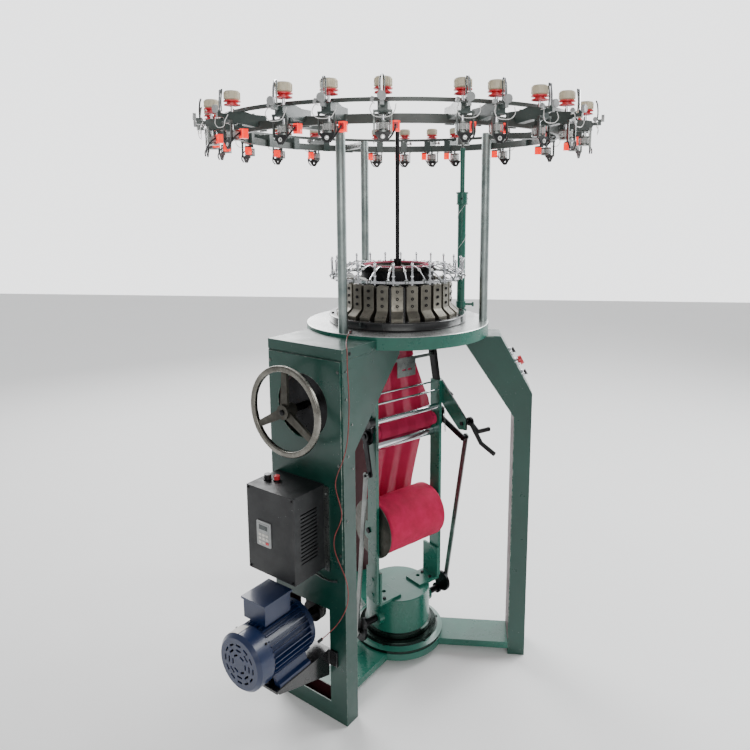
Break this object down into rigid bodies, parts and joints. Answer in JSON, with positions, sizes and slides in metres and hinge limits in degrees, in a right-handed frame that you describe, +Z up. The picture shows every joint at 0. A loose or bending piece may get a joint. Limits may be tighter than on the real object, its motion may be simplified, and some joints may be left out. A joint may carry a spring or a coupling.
{
  "type": "circular knitting machine",
  "caption": "Floor-standing circular knitting machine with a drive leg, hand wheel, cam and cylinder head, ring creel of feeders and a rotating take-down with cloth roll.",
  "frame": {"origin": "needle cylinder axis at floor level, centre of the three anchor holes", "axes": "+Z up along the needle cylinder axis, +X towards the plain leg that carries the push buttons"},
  "size_m": [1.3431, 1.3608, 1.976],
  "materials": {
    "green_paint": "semi-gloss enamel",
    "steel_plate": "ground, oiled",
    "black_enamel": "gloss black",
    "pewter": "ground steel",
    "chrome": "bright plated",
    "tube_steel": "galvanised tube",
    "dark_bar": "grey-green",
    "feeder_grey": "hammered grey-green",
    "lamp_red": "clear red",
    "cream_plastic": "moulded",
    "gear_steel": "oiled",
    "bearing_steel": "ground",
    "belt_rubber": "matt",
    "wheel_iron": "machined rim",
    "motor_blue": "gloss enamel",
    "box_black": "satin powder coat",
    "black_plastic": "moulded",
    "red_plastic": "moulded",
    "pink_fabric": "fine knit",
    "grip_rubber": "dipped",
    "red_wire": "insulated wire"
  },
  "bodies": {
    "frame": {"leg_a_casing": "green_paint", "leg_a_covers": "green_paint", "plain_legs": "green_paint", "base_beams": "green_paint", "base_ring": "gear_steel", "table_bed": "steel_plate", "cam_ring": "black_enamel", "cam_blocks": "pewter", "feeder_ring": "chrome", "ring_posts": "chrome", "ring_brackets": "chrome", "columns": "tube_steel", "creel_rail_lower": "dark_bar", "creel_rail_upper": "dark_bar", "feeder_bodies": "feeder_grey", "feeder_stop_motions": "lamp_red", "feeder_wheels": "cream_plastic", "drive_tube": "green_paint", "main_bearing": "bearing_steel", "thrust_ring": "bearing_steel", "shaft_bush": "bearing_steel", "pinion_bracket": "gear_steel", "drive_belt": "belt_rubber", "motor_body": "motor_blue", "motor_fan_cover": "motor_blue", "motor_bracket": "black_enamel", "inverter_box": "box_black", "button_collars": "black_plastic", "fasteners": "bearing_steel", "signal_wire": "red_wire", "wire_clips": "black_plastic"},
    "cylinder": {"needle_cylinder": "gear_steel", "main_gear": "gear_steel", "dial": "bearing_steel", "centre_rod": "gear_steel", "drum": "green_paint", "drum_brackets": "green_paint", "take_down_frame": "green_paint", "fabric_web": "pink_fabric"},
    "creel_drive": {"creel_shaft": "bearing_steel"},
    "pinion": {"pinion_shaft": "gear_steel"},
    "main_drive": {"main_shaft": "gear_steel", "handwheel": "wheel_iron"},
    "rotor": {"motor_rotor": "bearing_steel"},
    "knob": {"speed_knob": "black_plastic"},
    "start": {"start_button": "black_plastic"},
    "stop": {"stop_button": "red_plastic"},
    "jog": {"jog_button": "black_plastic"},
    "nip_upper": {"nip_roller": "pink_fabric"},
    "nip_lower": {"steel_roller": "bearing_steel"},
    "winder": {"cloth_roll": "pink_fabric"},
    "crank": {"crank_shaft": "gear_steel"},
    "lever_r": {"ratchet_lever_right": "gear_steel"},
    "lever_l": {"ratchet_lever_left": "gear_steel"},
    "link_r": {"link_right": "bearing_steel"},
    "link_l": {"link_left": "bearing_steel"},
    "release": {"release_lever": "grip_rubber"}
  },
  "joints": [
    {"name": "cylinder_turn", "type": "hinge", "parent": "frame", "child": "cylinder", "pos_m": [0, 0, 0], "axis": [0, 0, 1], "continuous": true},
    {"name": "pinion_turn", "type": "hinge", "parent": "frame", "child": "pinion", "pos_m": [-0.13258, -0.16363, 1.14], "axis": [0, 0, 1], "continuous": true},
    {"name": "main_drive_turn", "type": "hinge", "parent": "frame", "child": "main_drive", "pos_m": [-0.29858, -0.45115, 1.043], "axis": [-0.5, -0.866, 0], "continuous": true},
    {"name": "rotor_turn", "type": "hinge", "parent": "frame", "child": "rotor", "pos_m": [-0.32252, -0.50662, 0.342], "axis": [-0.5, -0.866, 0], "continuous": true},
    {"name": "creel_drive_turn", "type": "hinge", "parent": "frame", "child": "creel_drive", "pos_m": [0.225, 0.205, 1.5], "axis": [0, 0, 1], "continuous": true},
    {"name": "knob_turn", "type": "hinge", "parent": "frame", "child": "knob", "pos_m": [-0.37133, -0.40915, 0.808], "axis": [0, 0, 1], "range_deg": [-150, 150]},
    {"name": "start_press", "type": "slide", "parent": "frame", "child": "start", "axis": [-0.8729, 0, -0.4879], "range_m": [0, 0.004], "stiffness_N_per_m": 400},
    {"name": "stop_press", "type": "slide", "parent": "frame", "child": "stop", "axis": [-0.8729, 0, -0.4879], "range_m": [0, 0.004], "stiffness_N_per_m": 400},
    {"name": "jog_press", "type": "slide", "parent": "frame", "child": "jog", "axis": [-0.8729, 0, -0.4879], "range_m": [0, 0.004], "stiffness_N_per_m": 400},
    {"name": "nip_turn", "type": "hinge", "parent": "cylinder", "child": "nip_upper", "pos_m": [0.02475, -0.02475, 0.862], "axis": [0.7071, 0.7071, 0], "continuous": true},
    {"name": "steel_turn", "type": "hinge", "parent": "cylinder", "child": "nip_lower", "pos_m": [0.01556, -0.01556, 0.812], "axis": [0.7071, 0.7071, 0], "continuous": true},
    {"name": "wind_turn", "type": "hinge", "parent": "cylinder", "child": "winder", "pos_m": [0.01768, -0.01768, 0.503], "axis": [0.7071, 0.7071, 0], "continuous": true},
    {"name": "crank_turn", "type": "hinge", "parent": "cylinder", "child": "crank", "pos_m": [0.0198, -0.0198, 0.148], "axis": [0.7071, 0.7071, 0], "continuous": true},
    {"name": "lever_right_swing", "type": "hinge", "parent": "cylinder", "child": "lever_r", "pos_m": [0.14778, 0.09829, 0.862], "axis": [0.7071, 0.7071, 0], "range_deg": [0, 46]},
    {"name": "lever_left_swing", "type": "hinge", "parent": "cylinder", "child": "lever_l", "pos_m": [-0.09829, -0.14778, 0.862], "axis": [0.7071, 0.7071, 0], "range_deg": [-46, 0]},
    {"name": "link_right_swing", "type": "hinge", "parent": "lever_r", "child": "link_r", "pos_m": [0.25032, 0.02546, 0.81], "axis": [0.7071, 0.7071, 0], "range_deg": [-6, 6]},
    {"name": "link_left_swing", "type": "hinge", "parent": "lever_l", "child": "link_l", "pos_m": [-0.09405, -0.18173, 0.732], "axis": [0.7071, 0.7071, 0], "range_deg": [-6, 6]},
    {"name": "release_swing", "type": "hinge", "parent": "cylinder", "child": "release", "pos_m": [0.24466, -0.00424, 0.872], "axis": [0.7071, 0.7071, 0], "range_deg": [-20, 25]}
  ],
  "couplings": [
    {"joint": "pinion_turn", "follows": "cylinder_turn", "ratio": -3.6667},
    {"joint": "main_drive_turn", "follows": "cylinder_turn", "ratio": 3.6667},
    {"joint": "rotor_turn", "follows": "cylinder_turn", "ratio": 9.6759},
    {"joint": "creel_drive_turn", "follows": "cylinder_turn", "ratio": -6},
    {"joint": "crank_turn", "follows": "cylinder_turn", "ratio": 2},
    {"joint": "nip_turn", "follows": "cylinder_turn", "ratio": 0.25},
    {"joint": "steel_turn", "follows": "cylinder_turn", "ratio": -0.3},
    {"joint": "wind_turn", "follows": "cylinder_turn", "ratio": 0.06},
    {"joint": "lever_left_swing", "follows": "lever_right_swing", "ratio": -1}
  ]
}
